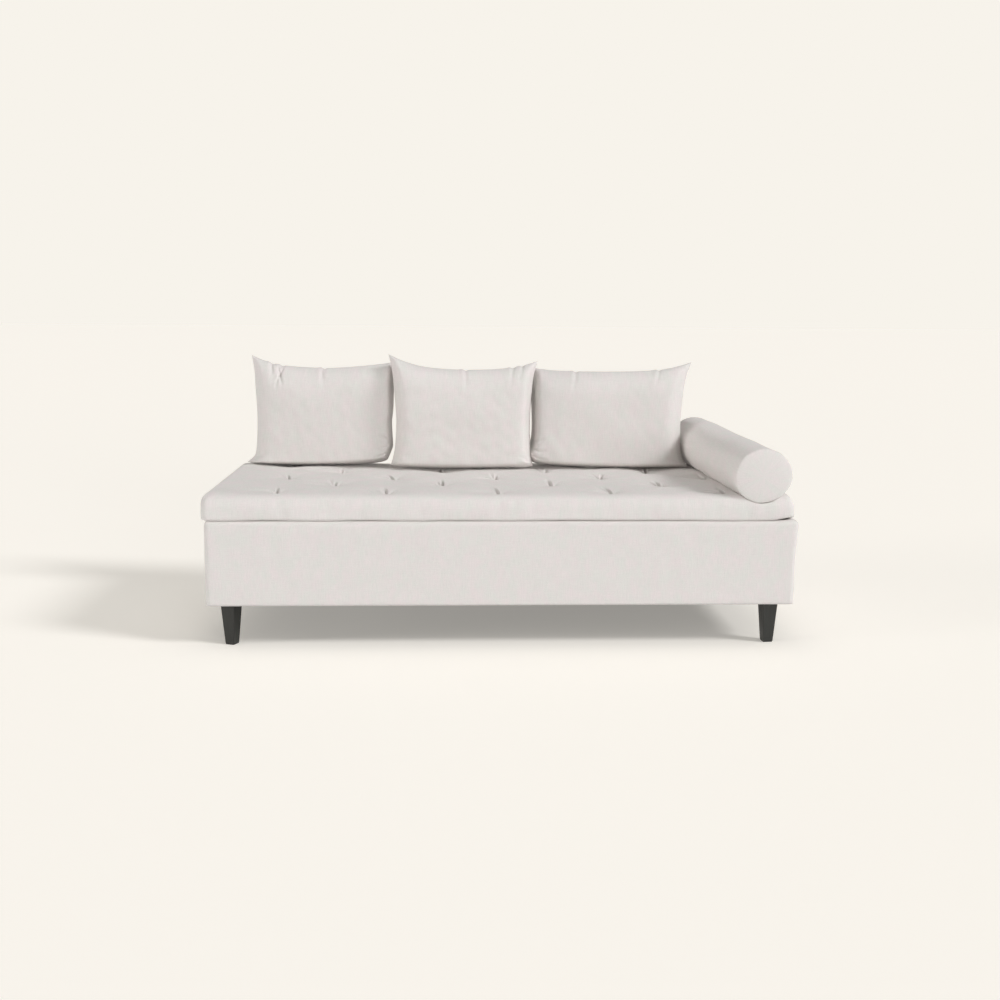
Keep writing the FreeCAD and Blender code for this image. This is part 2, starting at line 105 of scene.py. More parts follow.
def make_piece(name, points, faces, weave, body, nodes, material):
    """A mesh piece. weave holds two weave coordinates in metres for each corner or each point."""
    mesh = bpy.data.meshes.new(name)
    mesh.from_pydata([tuple(p) for p in points], [], [tuple(int(i) for i in f) for f in faces])
    mesh.update()
    layer = mesh.uv_layers.new(name="weave")
    corners = np.zeros(len(mesh.loops), np.int32)
    mesh.loops.foreach_get("vertex_index", corners)
    weave = np.asarray(weave, np.float32)
    if len(weave) == len(mesh.vertices):
        weave = weave[corners]
    layer.data.foreach_set("uv", weave.ravel())
    mesh.polygons.foreach_set("use_smooth", [True] * len(mesh.polygons))
    mesh.materials.append(material)
    piece = bpy.data.objects.new(name, mesh)
    bpy.context.scene.collection.objects.link(piece)
    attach(piece, body)
    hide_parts(*nodes)
    return piece


# Materials
def new_material(name):
    material = bpy.data.materials.new(name)
    material.use_nodes = True
    tree = material.node_tree
    return material, tree, tree.nodes["Principled BSDF"]


def node(tree, kind, inputs=None, **settings):
    made = tree.nodes.new(kind)
    for key, value in settings.items():
        setattr(made, key, value)
    for key, value in (inputs or {}).items():
        if isinstance(value, bpy.types.NodeSocket):
            tree.links.new(value, made.inputs[key])
        else:
            made.inputs[key].default_value = value
    return made


def stretched_noise(tree, source, scale, detail, rough):
    """Noise on coordinates that are scaled along each direction."""
    mapped = node(tree, "ShaderNodeMapping", {"Vector": source})
    mapped.inputs["Scale"].default_value = scale
    made = node(tree, "ShaderNodeTexNoise", {"Vector": mapped.outputs["Vector"], "Scale": 1.0})
    made.inputs["Detail"].default_value = detail
    made.inputs["Roughness"].default_value = rough
    return made.outputs["Fac"]


def ranged(tree, source, low, high, to_low, to_high):
    made = node(tree, "ShaderNodeMapRange", {"Value": source})
    made.inputs["From Min"].default_value = low
    made.inputs["From Max"].default_value = high
    made.inputs["To Min"].default_value = to_low
    made.inputs["To Max"].default_value = to_high
    return made.outputs["Result"]


def joined(tree, first, second, operation="MULTIPLY"):
    made = node(tree, "ShaderNodeMath", operation=operation)
    for place, value in enumerate((first, second)):
        if isinstance(value, bpy.types.NodeSocket):
            tree.links.new(value, made.inputs[place])
        else:
            made.inputs[place].default_value = value
    return made.outputs["Value"]


def mixed_colour(tree, factor, first, second):
    made = node(tree, "ShaderNodeMix", data_type="RGBA")
    for socket, value in ((made.inputs[0], factor), (made.inputs[6], first), (made.inputs[7], second)):
        if isinstance(value, bpy.types.NodeSocket):
            tree.links.new(value, socket)
        else:
            socket.default_value = value
    return made.outputs[2]


def scaled_colour(tree, colour, amount):
    made = node(tree, "ShaderNodeVectorMath", {0: colour}, operation="SCALE")
    tree.links.new(amount, made.inputs["Scale"])
    return made.outputs["Vector"]


THREAD_PITCH = 0.0016


def melange(name, warm, cool):
    """Woven off-white cloth: mottled warm and cool yarns, slubs both ways, fine plain weave with painted
    shade in its pits.
    """
    material, tree, shader = new_material(name)
    weave = node(tree, "ShaderNodeUVMap", uv_map="weave").outputs["UV"]
    mottle = stretched_noise(tree, weave, (24.0, 15.0, 1.0), 3.0, 0.6)
    colour = mixed_colour(tree, ranged(tree, mottle, 0.36, 0.64, 0.0, 1.0), warm, cool)
    upright = stretched_noise(tree, weave, (300.0, 26.0, 1.0), 2.0, 0.55)
    across = stretched_noise(tree, weave, (26.0, 300.0, 1.0), 2.0, 0.55)
    flecks = stretched_noise(tree, weave, (420.0, 420.0, 1.0), 1.0, 0.5)
    shade = joined(
        tree,
        ranged(tree, upright, 0.3, 0.7, 0.972, 1.028),
        ranged(tree, across, 0.3, 0.7, 0.982, 1.018),
    )
    shade = joined(tree, shade, ranged(tree, flecks, 0.3, 0.7, 0.96, 1.035))
    bars = []
    for direction in ("X", "Y"):
        wave = node(tree, "ShaderNodeTexWave", {"Vector": weave}, bands_direction=direction)
        wave.inputs["Scale"].default_value = 1 / (THREAD_PITCH * 3.1416)
        wave.inputs["Distortion"].default_value = 0.35
        wave.inputs["Detail"].default_value = 1.0
        bars.append(wave.outputs["Fac"])
    threads = joined(tree, bars[0], bars[1])
    # painted shade and light: the pits between the threads are darkened a little and the raised threads
    # lightened a little
    shade = joined(tree, shade, ranged(tree, threads, 0.0, 1.0, 0.975, 1.02))
    tree.links.new(scaled_colour(tree, colour, shade), shader.inputs["Base Color"])
    height = joined(tree, joined(tree, upright, 0.5), threads, "ADD")
    bump = node(tree, "ShaderNodeBump", {"Height": height})
    bump.inputs["Strength"].default_value = 0.35
    bump.inputs["Distance"].default_value = 0.0006
    tree.links.new(bump.outputs["Normal"], shader.inputs["Normal"])
    shader.inputs["Roughness"].default_value = 0.9
    shader.inputs["Specular IOR Level"].default_value = 0.2
    shader.inputs["Sheen Weight"].default_value = 0.15
    shader.inputs["Sheen Roughness"].default_value = 0.5
    return material


def wood(name, light, dark, grain, rough=0.55):
    """Wood with growth lines along the axis that has the smallest number in grain."""
    material, tree, shader = new_material(name)
    place = node(tree, "ShaderNodeTexCoord").outputs["Object"]
    lines = stretched_noise(tree, place, grain, 4.0, 0.6)
    broad = stretched_noise(tree, place, tuple(g * 0.25 for g in grain), 2.0, 0.5)
    amount = joined(
        tree,
        ranged(tree, lines, 0.35, 0.65, 0.0, 0.5),
        ranged(tree, broad, 0.3, 0.7, 0.0, 0.5),
        "ADD",
    )
    tree.links.new(mixed_colour(tree, amount, light, dark), shader.inputs["Base Color"])
    tree.links.new(ranged(tree, lines, 0.3, 0.7, rough - 0.06, rough + 0.08), shader.inputs["Roughness"])
    bump = node(tree, "ShaderNodeBump", {"Height": lines})
    bump.inputs["Strength"].default_value = 0.25
    bump.inputs["Distance"].default_value = 0.0004
    tree.links.new(bump.outputs["Normal"], shader.inputs["Normal"])
    return material


def plain(name, light, dark, scale=60.0, rough=0.8, metal=0.0, depth=0.0003):
    """A mottled finish for small parts."""
    material, tree, shader = new_material(name)
    place = node(tree, "ShaderNodeTexCoord").outputs["Object"]
    spots = stretched_noise(tree, place, (scale, scale, scale), 3.0, 0.6)
    colour = mixed_colour(tree, ranged(tree, spots, 0.35, 0.65, 0.0, 1.0), light, dark)
    tree.links.new(colour, shader.inputs["Base Color"])
    tree.links.new(ranged(tree, spots, 0.3, 0.7, rough - 0.05, rough + 0.05), shader.inputs["Roughness"])
    bump = node(tree, "ShaderNodeBump", {"Height": spots})
    bump.inputs["Strength"].default_value = 0.3
    bump.inputs["Distance"].default_value = depth
    tree.links.new(bump.outputs["Normal"], shader.inputs["Normal"])
    shader.inputs["Metallic"].default_value = metal
    return material


cloth = melange("melange_cloth", (0.772, 0.716, 0.702, 1), (0.738, 0.728, 0.692, 1))
twine_finish = plain("waxed_twine", (0.62, 0.57, 0.52, 1), (0.46, 0.42, 0.37, 1), 900.0, 0.7)
leg_finish = wood(
    "black_stain", (0.0150, 0.0165, 0.0140, 1), (0.0085, 0.0090, 0.0075, 1), (90.0, 90.0, 6.0), 0.42
)
pine_long = wood("pine_long", (0.70, 0.51, 0.30, 1), (0.56, 0.37, 0.19, 1), (5.0, 80.0, 80.0))
pine_cross = wood("pine_cross", (0.72, 0.53, 0.32, 1), (0.58, 0.39, 0.20, 1), (80.0, 5.0, 80.0))
pine_upright = wood("pine_upright", (0.70, 0.51, 0.30, 1), (0.56, 0.37, 0.19, 1), (80.0, 80.0, 5.0))
ply_long = wood("ply_long", (0.62, 0.46, 0.27, 1), (0.52, 0.36, 0.20, 1), (4.0, 26.0, 26.0), 0.6)
ply_cross = wood("ply_cross", (0.62, 0.46, 0.27, 1), (0.52, 0.36, 0.20, 1), (26.0, 4.0, 26.0), 0.6)
steel_finish = plain("zinc_plate", (0.62, 0.62, 0.60, 1), (0.50, 0.51, 0.52, 1), 400.0, 0.35, 1.0, 0.00005)
pad_finish = plain("glide_pad", (0.020, 0.020, 0.020, 1), (0.012, 0.012, 0.012, 1), 500.0, 0.75)
lining_finish = plain("non_woven_lining", (0.016, 0.016, 0.017, 1), (0.009, 0.009, 0.010, 1), 900.0, 0.95)
tape_finish = plain("cotton_tape", (0.62, 0.58, 0.50, 1), (0.52, 0.48, 0.41, 1), 1200.0, 0.9)

finishes = {
    "front_panel": ply_long,
    "rear_panel": ply_long,
    "left_panel": ply_cross,
    "right_panel": ply_cross,
    "front_ledger": pine_long,
    "rear_ledger": pine_long,
    "cross_rail_left": pine_cross,
    "cross_rail_right": pine_cross,
    "slats": pine_cross,
    "slat_tapes": tape_finish,
    "hanger_bolts": steel_finish,
    "tee_nuts": steel_finish,
    "leg_pads": pad_finish,
    "dust_cover": lining_finish,
}
for corner in ("front_left", "front_right", "rear_left", "rear_right"):
    finishes["leg_" + corner] = leg_finish
    finishes["corner_post_" + corner] = pine_upright
    finishes["leg_board_" + corner] = ply_long
for name, finish in finishes.items():
    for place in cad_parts[name].material_slots:
        place.material = finish


# Base cover: a thin skin swept round the box, over the top edge and down inside, hemmed below
def outline_ring(length, depth, radius, inset, steps_long, steps_short, steps_corner):
    """Points round a rounded rectangle moved inwards, with their outward directions and run."""
    half_x = length / 2
    half_y = depth / 2
    points = []
    ways = []
    corners = ((1, -1, -90), (1, 1, 0), (-1, 1, 90), (-1, -1, 180))
    inner_radius = max(radius - inset, 0.0)
    hold = max(radius, inset)
    for place, (sx, sy, start) in enumerate(corners):
        centre = np.array([sx * (half_x - hold), sy * (half_y - hold)])
        for n in range(steps_corner + 1):
            angle = math.radians(start + 90 * n / steps_corner)
            way = np.array([math.cos(angle), math.sin(angle)])
            points.append(centre + way * inner_radius)
            ways.append(way)
        nx, ny, next_start = corners[(place + 1) % 4]
        next_centre = np.array([nx * (half_x - hold), ny * (half_y - hold)])
        angle = math.radians(start + 90)
        way = np.array([math.cos(angle), math.sin(angle)])
        count = steps_short if place % 2 == 0 else steps_long
        begin = centre + way * inner_radius
        end = next_centre + way * inner_radius
        for n in range(1, count):
            points.append(begin + (end - begin) * n / count)
            ways.append(way)
    return np.array(points), np.array(ways)


def closed_sweep(rings):
    """Faces between closed rings of equal count, the last ring joined to the first."""
    count = len(rings[0])
    faces = []
    total = len(rings)
    for level in range(total):
        low = level * count
        high = ((level + 1) % total) * count
        for n in range(count):
            after = (n + 1) % count
            faces.append((low + n, low + after, high + after, high + n))
    return faces


# The rounding over the top edge, as distance inwards and height from the top
BASE_EDGE = ((0.0, -0.026), (0.0012, -0.014), (0.005, -0.006), (0.011, -0.0018), (0.019, -0.0004))


def base_cover():
    side = SKIN + PANEL
    outer = rounded_line(
        [
            (SKIN + HEM, BASE_LOW),
            (0.010, BASE_LOW - 0.0016),
            (0.003, BASE_LOW - 0.0036),
            (0.0006, BASE_LOW - 0.002),
            (0.0, BASE_LOW + 0.004),
            *((inset, BASE_TOP + drop) for inset, drop in BASE_EDGE),
            (side + COVER, BASE_TOP - 0.003),
            (side + COVER, RETURN_LOW),
        ],
        2,
    )
    reach = np.linalg.norm(np.diff(outer, axis=0), axis=1).sum()
    distances = np.linspace(0, reach, int(reach / 0.007))
    line, _ = along_line(outer, distances)
    back, _ = along_line(outer, distances[::-1])
    way = np.gradient(back, axis=0)
    way /= np.linalg.norm(way, axis=1)[:, None]
    inner = back + np.stack([-way[:, 1], way[:, 0]], 1) * COVER
    profile = np.vstack([line, inner])
    rings = []
    weaves = []
    for place, (inset, z) in enumerate(profile):
        flat, ways = outline_ring(BASE_LENGTH, BASE_DEPTH, BASE_CORNER, inset, 230, 104, 8)
        ring = np.column_stack([flat, np.full(len(flat), z)])
        if place < len(line):
            height = smooth_step(z, BASE_LOW + 0.01, BASE_LOW + 0.06)
            height = height * smooth_step(-z, -BASE_TOP, -BASE_TOP + 0.03)
            soft = 0.0009 * waves(ring, 0.30, 3) + 0.0004 * waves(ring, 0.07, 4, stretch=(1, 1, 3))
            ring[:, :2] += ways * (soft * height - 0.0006)[:, None]
            # the right end is fuller towards the top
            flare = 0.009 * smooth_step(z, 0.27, 0.425) * (1 - smooth_step(inset, 0.004, 0.02))
            ring[:, 0] += flare * np.maximum(ways[:, 0], 0)
        rings.append(ring)
        run = np.concatenate([[0], np.cumsum(np.linalg.norm(np.diff(flat, axis=0), axis=1))])
        weaves.append(np.column_stack([run, np.full(len(flat), z - inset)]))
    return make_piece(
        "base_upholstery",
        np.vstack(rings),
        closed_sweep(rings),
        np.vstack(weaves),
        "base",
        ["base_cover", "base_wadding"],
        cloth,
    )


base_cover()

# Bolster axis
run = math.sqrt(BOLSTER_LENGTH**2 - BOLSTER_RISE**2)
bolster_axis = Vector((-run * math.sin(BOLSTER_YAW), run * math.cos(BOLSTER_YAW), BOLSTER_RISE)).normalized()


def bolster_bed(x, y):
    """Height of the underside of the bolster over a place, and high up where it isn't above it."""
    flat = np.array([bolster_axis.x, bolster_axis.y])
    level = np.linalg.norm(flat)
    flat /= level
    dx = x - BOLSTER_FRONT.x
    dy = y - BOLSTER_FRONT.y
    along = dx * flat[0] + dy * flat[1]
    off = dx * flat[1] - dy * flat[0]
    rise = BOLSTER_FRONT.z + along * bolster_axis.z / level
    inside = np.abs(off) < BOLSTER_RADIUS
    drop = np.sqrt(np.maximum(BOLSTER_RADIUS**2 - off**2, 0))
    return np.where(inside, rise - drop, 9.0)


# Mattress
TUFT_ROWS = [(row - 2) * TUFT_ROW_PITCH for row in range(5)]
# How much farther in the tufts at the left end sit, by row and place in the row
TUFT_INWARD = {(0, 0): 0.024, (0, 1): 0.005, (1, 0): 0.011, (2, 0): 0.024, (2, 1): 0.018, (3, 0): 0.006}
TUFTS = []
for row, place in enumerate(TUFT_ROWS):
    in_row = 5 - row % 2
    for n in range(in_row):
        inward = TUFT_INWARD.get((row, n), 0.0)
        TUFTS.append((MATTRESS_SHIFT + (n - (in_row - 1) / 2) * TUFT_PITCH + inward, place))


def box_lattice(nx, ny, nz):
    """Lattice points on the surface of a block, and its faces turned outwards."""
    quads = []

    def side(make, count_a, count_b, flip):
        a, b = np.meshgrid(np.arange(count_a), np.arange(count_b), indexing="ij")
        a = a.ravel()
        b = b.ravel()
        ring = [make(a, b), make(a + 1, b), make(a + 1, b + 1), make(a, b + 1)]
        if flip:
            ring = ring[::-1]
        quads.append(np.stack(ring, 1))

    def key(i, j, k):
        return (i * (ny + 1) + j) * (nz + 1) + k

    side(lambda a, b: key(a, b, np.full_like(a, nz)), nx, ny, False)
    side(lambda a, b: key(a, b, np.zeros_like(a)), nx, ny, True)
    side(lambda a, b: key(a, np.zeros_like(a), b), nx, nz, False)
    side(lambda a, b: key(a, np.full_like(a, ny), b), nx, nz, True)
    side(lambda a, b: key(np.full_like(a, nx), a, b), ny, nz, False)
    side(lambda a, b: key(np.zeros_like(a), a, b), ny, nz, True)
    quads = np.vstack(quads)
    keys, index = np.unique(quads.ravel(), return_inverse=True)
    faces = index.reshape(-1, 4)
    k = keys % (nz + 1)
    j = keys // (nz + 1) % (ny + 1)
    i = keys // ((nz + 1) * (ny + 1))
    return i, j, k, faces


# Folds that run out from every tuft: direction in degrees, depth, width, reach, bend
TUFT_FOLDS = (
    (92, 0.0200, 0.0036, 0.095, 1.0),
    (116, 0.0050, 0.0042, 0.120, -3.0),
    (150, 0.0060, 0.0046, 0.150, 1.8),
    (174, 0.0066, 0.0046, 0.165, 1.6),
    (203, 0.0030, 0.0045, 0.080, 2.5),
    (14, 0.0026, 0.0045, 0.075, -2.0),
    (52, 0.0032, 0.0045, 0.090, 2.5),
    (-84, 0.0060, 0.0050, 0.060, 1.0),
    (-38, 0.0028, 0.0045, 0.065, -3.0),
)


def tuft_relief(x, y):
    """How far the tufts and their folds draw the top down."""
    depth = np.zeros_like(x)
    rng = np.random.default_rng(21)
    for tx, ty in TUFTS:
        dx = x - tx
        dy = y - ty
        r = np.hypot(dx, dy * 0.9)
        depth -= 0.0120 * np.clip(1 - r / 0.125, 0, 1) ** 1.7
        depth -= 0.0085 * np.exp(-((r / 0.016) ** 2))
        for direction, deep, width, reach, bend in TUFT_FOLDS:
            angle = math.radians(direction + rng.normal(0, 9))
            deep = deep * rng.uniform(0.55, 1.25)
            reach = reach * rng.uniform(0.75, 1.2)
            bend = bend * rng.uniform(0.4, 1.5)
            along = dx * math.cos(angle) + dy * math.sin(angle)
            aside = -dx * math.sin(angle) + dy * math.cos(angle) - bend * along * np.abs(along)
            spread = width * (1 + np.clip(along, 0, 1) * 14)
            q = (aside / spread) ** 2
            fade = smooth_step(along, -0.004, 0.010) * smooth_step(-along, -reach, -0.15 * reach)
            depth -= deep * (1 - 0.55 * q) * np.exp(-0.9 * q) * fade
    return depth


def graded(count, half, centres, spread, gain):
    """Places from -half to half, closer together near the centres."""
    fine = np.linspace(-half, half, 4001)
    dense = np.ones_like(fine)
    for centre in centres:
        dense += gain * np.exp(-(((fine - centre) / spread) ** 2))
    run = np.concatenate([[0], np.cumsum((dense[1:] + dense[:-1]) / 2)])
    places = np.interp(np.linspace(0, run[-1], count + 1), run, fine)
    return places / half


def round_corners(x, y, half_x, half_y, radius):
    """Draw the square corners of a lattice onto round ones."""
    cx = np.clip(x, -half_x + radius, half_x - radius)
    cy = np.clip(y, -half_y + radius, half_y - radius)
    dx = x - cx
    dy = y - cy
    size = np.hypot(dx, dy)
    most = np.maximum(np.abs(dx), np.abs(dy))
    scale = np.where(size > 0, most / np.maximum(size, 1e-9), 1.0)
    return cx + dx * scale, cy + dy * scale


def mattress():
    nx, ny, nz = 560, 230, 14
    i, j, k, faces = box_lattice(nx, ny, nz)
    thick = MATTRESS_TOP - MATTRESS_LOW
    half_x = MATTRESS_LENGTH / 2
    half_y = MATTRESS_DEPTH / 2
    side_line = rounded_line(
        [
            (0.0200, 0.004),
            (0.0110, -0.010),
            (0.0060, -0.026),
            (0.0020, -0.014),
            (0.0, 0.08),
            (0.0, 0.40),
            (0.0024, 0.57),
            (0.0080, 0.72),
            (0.0125, 0.81),
        ],
        2,
    )
    side_line[:, 1] *= thick
    # over the edge of the top: a tighter roll at the ends than along the front and back
    end_line = rounded_line([(0.0125, 0.81), (0.018, 0.90), (0.029, 0.965), (0.050, 0.995), (0.12, 1.0)], 3)
    long_line = rounded_line([(0.0125, 0.81), (0.024, 0.91), (0.046, 0.98), (0.078, 1.0), (0.12, 1.0)], 3)
    end_line[:, 1] *= thick
    long_line[:, 1] *= thick
    side_reach = np.linalg.norm(np.diff(side_line, axis=0), axis=1).sum()
    on_side, _ = along_line(side_line, k / nz * side_reach)
    upper = k == nz
    ax = graded(nx, half_x, [t[0] - MATTRESS_SHIFT for t in TUFTS[:9]], 0.026, 2.4)[i]
    ay = graded(ny, half_y, TUFT_ROWS, 0.035, 1.0)[j]
    edge_inset = long_line[0, 0]
    inset = np.where(upper, edge_inset, on_side[:, 0])
    x = ax * (half_x - inset)
    y = ay * (half_y - inset)
    # the top rolls over its edge: each direction follows its own line by its own distance
    gaps = []
    heights = []
    for value, half, line in ((x, half_x - edge_inset, end_line), (y, half_y - edge_inset, long_line)):
        reach = np.concatenate([[0], np.cumsum(np.linalg.norm(np.diff(line, axis=0), axis=1))])
        gap = half - np.abs(value)
        slack = reach[-1] - (line[-1, 0] - edge_inset)
        inwards = np.interp(gap, reach, line[:, 0] - edge_inset)
        late = np.clip(1 - (gap - reach[-1]) / 0.2, 0, 1) ** 2
        gaps.append(np.where(gap > reach[-1], gap - slack * late, inwards))
        heights.append(1 - np.interp(gap, reach, line[:, 1]) / thick)
    drop = np.hypot(heights[0], heights[1])
    drop = np.where((heights[0] > 0) & (heights[1] > 0), drop * 0.94 + 0.06 * np.maximum(*heights), drop)
    edge_height = 1 - drop
    x = np.where(upper, np.sign(x) * (half_x - edge_inset - gaps[0]), x)
    y = np.where(upper, np.sign(y) * (half_y - edge_inset - gaps[1]), y)
    z = np.where(upper, edge_height * thick, on_side[:, 1] * (edge_height / 0.81))
    x, y = round_corners(x, y, half_x - inset, half_y - inset, MATTRESS_CORNER - 0.4 * edge_inset)
    x = x + MATTRESS_SHIFT
    flat = np.column_stack([x, y, np.zeros_like(x)])
    share = z / thick
    # top: tufts, pillows between them, soft wrinkles
    depth_in = np.minimum(half_x - np.abs(x - MATTRESS_SHIFT), half_y - np.abs(y))
    ramp = smooth_step(depth_in, 0.015, 0.07) * upper
    relief = tuft_relief(x, y) + 0.0012 * (waves(flat, 0.20, 8) - 1.2) + 0.0005 * waves(flat, 0.06, 9)
    z = z + relief * ramp
    # sides: soft upright wrinkles, wavy lower edge, front right corner that curls up, fuller ends
    out_x = (np.abs(ax) > 0.999) & ~upper
    out_y = (np.abs(ay) > 0.999) & ~upper
    low_half = smooth_step(share, 0.03, 0.3) * (1 - smooth_step(share, 0.62, 0.8))
    ripple = (0.0010 * waves(flat, 0.055, 12) + 0.0014 * waves(flat, 0.24, 13)) * low_half
    x = x + np.sign(ax) * ripple * out_x * 0.5
    y = y + np.sign(ay) * ripple * out_y
    low_edge = (1 - smooth_step(share, 0.0, 0.35)) * (out_x | out_y)
    z = z + low_edge * 0.0013 * (1 + waves(flat, 0.33, 14)) * 0.8
    curl = smooth_step(x, 0.91, 0.985) * smooth_step(-y, 0.40, 0.445) * (1 - smooth_step(share, 0.0, 0.55))
    z = z + 0.011 * curl
    x = x + 0.007 * smooth_step(x, 0.90, 0.975) * smooth_step(-y, 0.10, 0.40)
    x = x - (0.004 + 0.008 * smooth_step(share, 0.4, 0.8)) * smooth_step(-x, 0.86, 0.975)
    bed = bolster_bed(x, y)
    z = np.minimum(z, np.maximum(bed - MATTRESS_LOW, 0.0))
    # the lower edge rests on the base and hangs a little over its rounded edge
    over = np.minimum(BASE_LENGTH / 2 - np.abs(x), BASE_DEPTH / 2 - np.abs(y))
    rest = np.interp(over, [e[0] for e in BASE_EDGE], [e[1] for e in BASE_EDGE]) + BASE_TOP - MATTRESS_LOW
    z = np.maximum(z, np.where(over > 0, rest + 0.0005, z))
    points = np.column_stack([x, y, z + MATTRESS_LOW])
    # weave: flat on top, height down the sides
    down = thick - z
    sheets = (
        (nx * ny, (x, y)),
        (nx * ny, (x, 4 - y)),
        (nx * nz, (x, -half_y - down)),
        (nx * nz, (x, half_y + down)),
        (ny * nz, (half_x + down, y)),
        (ny * nz, (-half_x - down, y)),
    )
    weave = []
    begin = 0
    for count, (first, second) in sheets:
        corners = faces[begin : begin + count].ravel()
        weave.append(np.column_stack([first[corners], second[corners]]))
        begin += count
    return make_piece(
        "mattress_ticking",
        points,
        faces,
        np.vstack(weave),
        "mattress",
        ["mattress_cover", "mattress_wadding", "mattress_core"],
        cloth,
    )


ticking = mattress()


def open_sweep(count, sides):
    """Faces between rings of points that follow one another, with both ends closed."""
    faces = []
    for level in range(count - 1):
        low = level * sides
        for n in range(sides):
            after = (n + 1) % sides
            faces.append((low + n, low + after, low + sides + after, low + sides + n))
    faces.append(tuple(range(sides))[::-1])
    faces.append(tuple(range((count - 1) * sides, count * sides)))
    return faces


def tube(path, radius, sides=8):
    """Points and faces of a closed round bar along a path."""
    path = np.array(path, float)
    ways = np.gradient(path, axis=0)
    ways /= np.linalg.norm(ways, axis=1)[:, None]
    points = []
    for place, (centre, way) in enumerate(zip(path, ways)):
        side = np.cross(way, (0, 0, 1.0))
        if np.linalg.norm(side) < 1e-3:
            side = np.cross(way, (0, 1.0, 0))
        side /= np.linalg.norm(side)
        other = np.cross(way, side)
        size = radius * (0.55 if place in (0, len(path) - 1) else 1.0)
        for n in range(sides):
            angle = 2 * math.pi * n / sides
            points.append(centre + size * (math.cos(angle) * side + math.sin(angle) * other))
    return points, open_sweep(len(path), sides)


def tuft_ties():
    """A double stitch of twine in every dimple and one under the mattress."""
    rng = np.random.default_rng(5)
    points = []
    faces = []
    for tx, ty in TUFTS:
        turn = rng.normal(0, 0.25)
        for level, sign in ((MATTRESS_TOP - TUFT_DEPTH + 0.0012, 1), (MATTRESS_LOW + 0.0008, -1)):
            for strand in (-1, 1):
                path = []
                for t in np.linspace(-1, 1, 9):
                    lx = t * 0.0056
                    ly = strand * 0.0011 + 0.0003 * math.sin(3 * t)
                    lz = sign * (0.0016 * (1 - t * t) - 0.0012 * abs(t) ** 3) if sign > 0 else 0.0
                    path.append(
                        (
                            tx + lx * math.cos(turn) - ly * math.sin(turn),
                            ty + lx * math.sin(turn) + ly * math.cos(turn),
                            level + lz,
                        )
                    )
                more, more_faces = tube(path, 0.00105 if sign > 0 else 0.0006)
                faces += [tuple(i + len(points) for i in f) for f in more_faces]
                points += more
    points = np.array(points)
    return make_piece(
        "tuft_stitches", points, faces, points[:, :2], "mattress", ["mattress_tufts"], twine_finish
    )


tuft_ties()


# Cushions stand on their lower seam, which is set a little low and flattened on the mattress
HALF_THICK = 0.087
LEAN = math.radians(4.5)
SETTLE = 0.008
